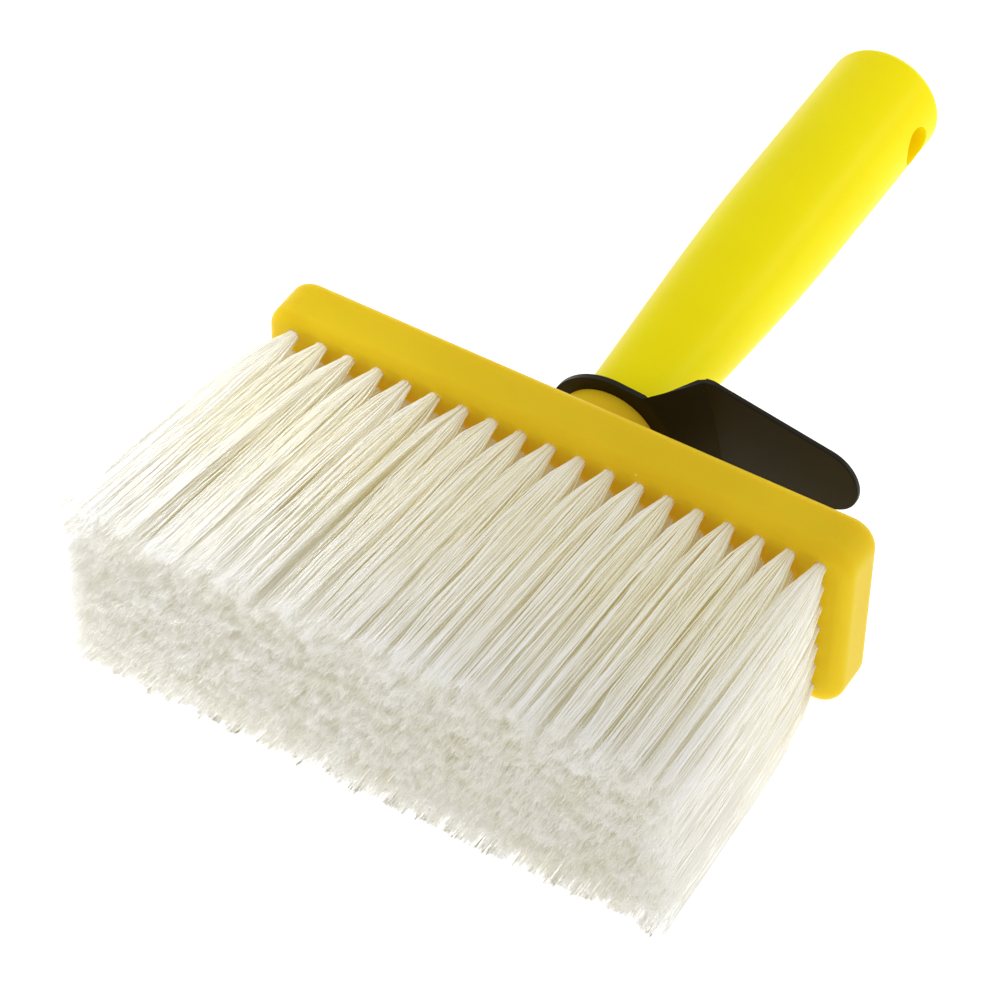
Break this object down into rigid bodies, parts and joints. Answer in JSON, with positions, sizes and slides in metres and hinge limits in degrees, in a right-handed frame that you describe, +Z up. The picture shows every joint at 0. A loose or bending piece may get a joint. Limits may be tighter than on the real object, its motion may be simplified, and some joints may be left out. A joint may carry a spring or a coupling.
{
  "type": "block brush",
  "caption": "Rectangular block brush for paste, masonry paint or limewash, with rows of synthetic tufts, a round handle with a hanging hole, and a swivelling bucket hook at its neck.",
  "frame": {"origin": "centre of the brush's footprint, on the surface that the lower broad side of the block lies on", "axes": "+X along the block's length, +Y along the handle away from the bristles, +Z up through the block's width"},
  "size_m": [0.14, 0.2234, 0.046],
  "materials": {
    "yellow_plastic": "satin moulded polypropylene",
    "black_plastic": "smooth moulded",
    "bristle": "translucent synthetic filament",
    "anchor_wire": "drawn flat wire"
  },
  "bodies": {
    "brush": {"brush_block": "yellow_plastic", "handle": "yellow_plastic", "tuft_row_1": "bristle", "tuft_row_2": "bristle", "tuft_row_3": "bristle", "tuft_row_4": "bristle", "tuft_row_5": "bristle", "tuft_row_6": "bristle", "tuft_row_7": "bristle", "anchor_row_1": "anchor_wire", "anchor_row_2": "anchor_wire", "anchor_row_3": "anchor_wire", "anchor_row_4": "anchor_wire", "anchor_row_5": "anchor_wire", "anchor_row_6": "anchor_wire", "anchor_row_7": "anchor_wire"},
    "hook": {"bucket_hook": "black_plastic"}
  },
  "joints": [
    {"name": "hook_swivel", "type": "hinge", "parent": "brush", "child": "hook", "pos_m": [0, -0.0155, 0.023], "axis": [0, -1, 0], "continuous": true}
  ]
}
